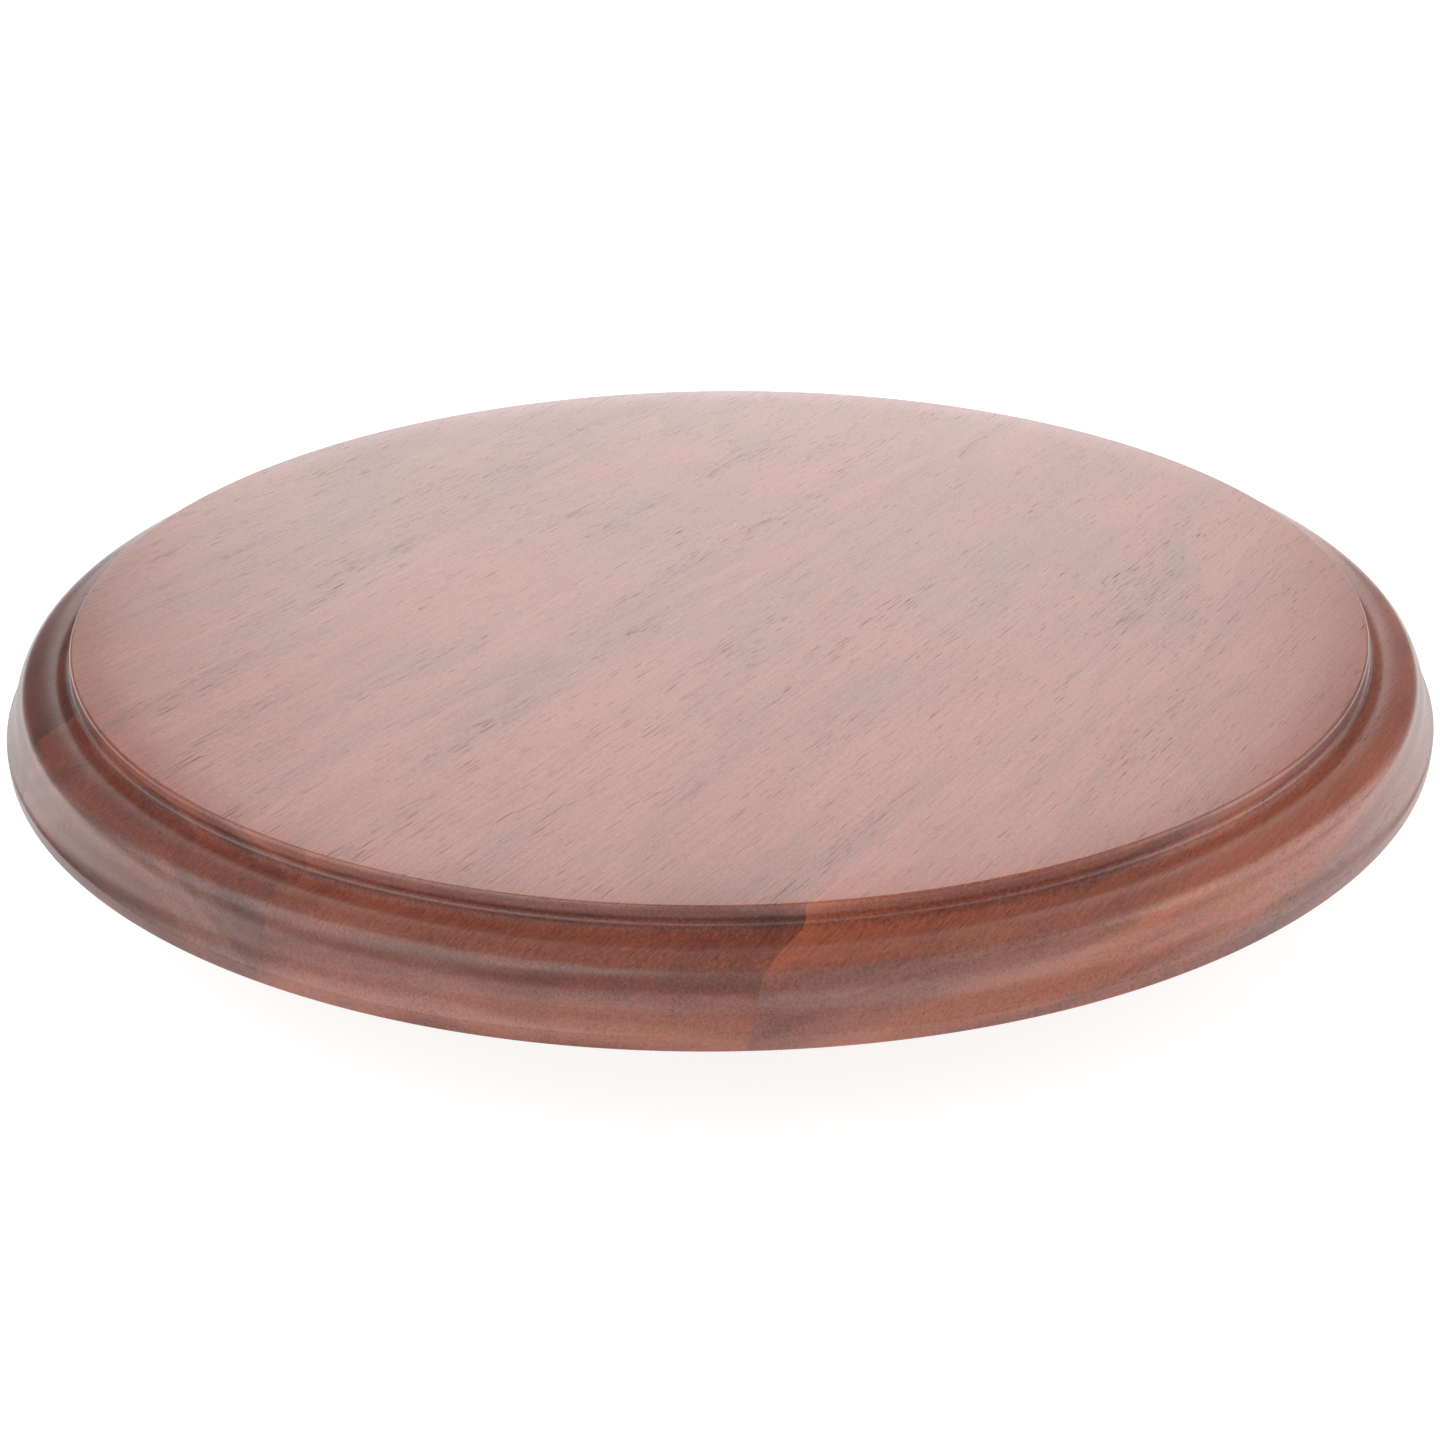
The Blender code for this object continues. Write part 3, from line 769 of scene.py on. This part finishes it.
def screw_mesh(name, length):
    """A pan-head wood screw, its head resting on z = 0 and its tip below."""
    head = rounded([
        (0, HEAD_HEIGHT), (0.55 * HEAD_RADIUS, 0.97 * HEAD_HEIGHT),
        (0.93 * HEAD_RADIUS, 0.66 * HEAD_HEIGHT), (HEAD_RADIUS, 0.25 * HEAD_HEIGHT),
        (HEAD_RADIUS, 0), (1.02 * THREAD_RADIUS, 0),
    ], HEAD_EASE, 5)
    steps = round(length / THREAD_PITCH * ROWS_PER_PITCH)
    bm = bmesh.new()
    crown = bm.verts.new((0, 0, HEAD_HEIGHT))
    tip = bm.verts.new((0, 0, -length))
    rows = []
    for radius, height in head[1:]:
        rows.append([(radius, height) for _ in range(SCREW_SEGMENTS)])
    for step in range(1, steps):
        depth = length * step / steps
        narrowing = min(1, (length - depth) / TAPER)
        grown = min(1, max(0, (depth - THREAD_START) / THREAD_PITCH))
        row = []
        for turn in range(SCREW_SEGMENTS):
            phase = (depth / THREAD_PITCH + turn / SCREW_SEGMENTS) % 1
            ridge = max(0, 1 - abs(phase - 0.5) / RIDGE_HALF_WIDTH)
            core = SHANK_RADIUS + (CORE_RADIUS - SHANK_RADIUS) * grown
            row.append(((core + (THREAD_RADIUS - core) * ridge * grown) * narrowing, -depth))
        rows.append(row)
    angles = [math.tau * i / SCREW_SEGMENTS for i in range(SCREW_SEGMENTS)]
    rings = []
    for row in rows:
        places = [(r * math.cos(a), r * math.sin(a), z) for a, (r, z) in zip(angles, row)]
        rings.append([bm.verts.new(place) for place in places])
    for i in range(SCREW_SEGMENTS):
        j = (i + 1) % SCREW_SEGMENTS
        bm.faces.new((crown, rings[0][i], rings[0][j]))
        bm.faces.new((tip, rings[-1][j], rings[-1][i]))
        for above, below in zip(rings, rings[1:]):
            bm.faces.new((above[i], below[i], below[j], above[j]))
    return finish_mesh(bm, name, THREAD_SMOOTH_ANGLE)


def slot_cutter(turn):
    """A wedge, narrower at the bottom; two of them crossed have the shape of a cross-head driver's tip."""
    bm = bmesh.new()
    made = bmesh.ops.create_cube(bm, size=2)["verts"]
    for vert in made:
        half_length, half_width, height = SLOT_BOTTOM if vert.co.z < 0 else SLOT_TOP
        vert.co = (vert.co.x * half_length, vert.co.y * half_width, height)
    bmesh.ops.rotate(bm, verts=made, cent=(0, 0, 0), matrix=Matrix.Rotation(turn, 3, "Z"))
    return add_object("cutter", finish_mesh(bm, "cutter"))


def screws(nodes, piece_name, pointing_up, body):
    """One screw for each node, all of the same length."""
    low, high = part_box(nodes[0])
    pattern = add_object(piece_name, screw_mesh(piece_name, high.z - low.z - HEAD_HEIGHT))
    for turn in (0, math.pi / 2):
        cut(pattern, slot_cutter(turn))
    mesh = pattern.data
    bpy.data.objects.remove(pattern)
    for number, node in enumerate(nodes, start=1):
        low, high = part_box(node)
        centre = centre_of(node)
        seat = low.z + HEAD_HEIGHT if pointing_up else high.z - HEAD_HEIGHT
        screw = add_object(f"{piece_name}_{number}", mesh, (centre.x, centre.y, seat))
        turn = FIRST_SCREW_TURN + NEXT_SCREW_TURN * number
        screw.rotation_euler = (math.pi if pointing_up else 0, 0, turn)
        show(screw, [node], body, SCREW_STEEL)


# ---------------------------------------------------------------- feet

WELL_RADIUS = 4.2 * MM
WELL_DEPTH = 2.6 * MM
TREAD_INSET = 1.2 * MM
FLANK_INSET = 1.0 * MM
FLANK_START = 0.4 * MM
RUBBER_EASE = 0.5 * MM
FOOT_SEGMENTS = 96


def feet():
    """Tapered rubber feet, each with a well for its screw's head."""
    low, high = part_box(FEET[0])
    top_radius = (high.x - low.x) / 2
    height = high.z - low.z
    outline = rounded([
        (WELL_RADIUS, 0), (top_radius - TREAD_INSET, 0), (top_radius - FLANK_INSET, FLANK_START),
        (top_radius, height), (PILOT_RADIUS, height), (PILOT_RADIUS, WELL_DEPTH),
        (WELL_RADIUS, WELL_DEPTH),
    ], RUBBER_EASE, 5, closed=True)
    mesh = turned("rubber_foot", outline, FOOT_SEGMENTS, closed=True)
    black = rubber("foot_rubber")
    for number, node in enumerate(FEET, start=1):
        centre = centre_of(node)
        foot = add_object(f"rubber_foot_{number}", mesh, (centre.x, centre.y, low.z))
        show(foot, [node], "base", black)


PLATE_STEEL = zinc_sheet("plate_steel")
SCREW_STEEL = plated_screw("screw_steel")

top_board()
base_board()
swivel_plates()
ball_cage()
balls()
screws(LOWER_SCREWS, "pan_screw_lower", False, "base")
screws(UPPER_SCREWS, "pan_screw_upper", True, "top")
screws(FOOT_SCREWS, "pan_screw_foot", True, "base")
feet()


# ---------------------------------------------------------------- floor, lights, camera

FLOOR_HALF_SIZE = 6
# The floor's glow is painted light: it rises from the first level at the stand, lower there as painted shade,
# to the second one at the far radius, as a strongly lit floor.
GLOW_NEAR, GLOW_FAR = 0.86, 2.6
GLOW_NEAR_RADIUS, GLOW_FAR_RADIUS = 0.2, 0.6


def floor():
    """A pale sheet whose glow is painted light: dimmer round the stand as painted shade, brighter far out as
    a strongly lit floor.
    """
    bm = bmesh.new()
    bmesh.ops.create_grid(bm, x_segments=1, y_segments=1, size=FLOOR_HALF_SIZE)
    obj = add_object("floor", finish_mesh(bm, "floor"))
    g = Graph("floor")
    out = g.node("VectorMath", {0: g.node("TexCoord", {}, "Object")}, 1, operation="LENGTH")
    glow = g.between(out, GLOW_NEAR_RADIUS, GLOW_FAR_RADIUS, GLOW_NEAR, GLOW_FAR)
    obj.data.materials.append(g.surface(
        Base_Color=(0.30, 0.30, 0.30), Roughness=0.6, Emission_Color=(1.0, 1.0, 1.0),
        Emission_Strength=glow,
    ))


def world():
    """A dim studio whose white sweep glows along the horizon."""
    made = bpy.data.worlds.new("studio")
    made.use_nodes = True
    tree = made.node_tree
    direction = tree.nodes.new("ShaderNodeTexCoord").outputs["Generated"]
    split = tree.nodes.new("ShaderNodeSeparateXYZ")
    ramp = tree.nodes.new("ShaderNodeValToRGB")
    tree.links.new(direction, split.inputs[0])
    tree.links.new(split.outputs[2], ramp.inputs[0])
    stops = ramp.color_ramp.elements
    for place, level in ((0.01, 0.8), (0.03, 0.04)):
        stops.new(place).color = (level, level, level, 1)
    stops[0].color = (1, 1, 1, 1)
    stops[-1].color = (0.054, 0.054, 0.056, 1)
    tree.links.new(ramp.outputs[0], tree.nodes["Background"].inputs[0])
    tree.nodes["Background"].inputs[1].default_value = 2.8
    bpy.context.scene.world = made


def area_light(name, azimuth, elevation, distance, size, radiance):
    """A soft box aimed at the stand; azimuth runs from the camera's side, towards the camera's right."""
    around, up = math.radians(azimuth), math.radians(elevation)
    flat = math.cos(up) * distance
    place = Vector((flat * math.sin(around), -flat * math.cos(around), math.sin(up) * distance))
    data = bpy.data.lights.new(name, "AREA")
    data.shape = "RECTANGLE"
    data.size, data.size_y = size
    data.energy = radiance * math.pi * size[0] * size[1]
    obj = bpy.data.objects.new(name, data)
    obj.location = place
    aim = Vector((0, 0, BOARD_LOW.z)) - place
    obj.rotation_euler = aim.to_track_quat("-Z", "Y").to_euler()
    obj.visible_camera = False
    bpy.context.scene.collection.objects.link(obj)


def lights():
    area_light("back_low", 180, 12, 2.2, (2.0, 0.45), 3.9)
    area_light("back_high", 180, 34, 2.1, (1.3, 0.8), 3.5)
    area_light("left", -66, 45, 1.9, (2.3, 2.2), 2.3)
    area_light("front", 12, 38, 1.9, (2.6, 1.8), 0.7)
    area_light("right", 92, 28, 1.9, (1.6, 1.3), 2.6)


CAMERA_DISTANCE = 0.498
CAMERA_ELEVATION = math.radians(24.548)
CAMERA_PITCH = math.radians(25.999)
CAMERA_ROLL = math.radians(-0.591)
CAMERA_LENS = 56.86


def camera():
    """Aimed a little below the board's middle, so that the board sits in the frame without lens shift."""
    data = bpy.data.cameras.new("camera")
    data.sensor_width = 36
    data.lens = CAMERA_LENS
    data.clip_start = 0.01
    obj = bpy.data.objects.new("camera", data)
    back = -math.cos(CAMERA_ELEVATION) * CAMERA_DISTANCE
    height = math.sin(CAMERA_ELEVATION) * CAMERA_DISTANCE + BOARD_LOW.z
    tilt = Matrix.Rotation(math.pi / 2 - CAMERA_PITCH, 4, "X") @ Matrix.Rotation(CAMERA_ROLL, 4, "Z")
    obj.matrix_world = Matrix.Translation((0, back, height)) @ tilt
    bpy.context.scene.collection.objects.link(obj)
    bpy.context.scene.camera = obj


floor()
world()
lights()
camera()
bpy.context.scene.view_settings.view_transform = "Standard"
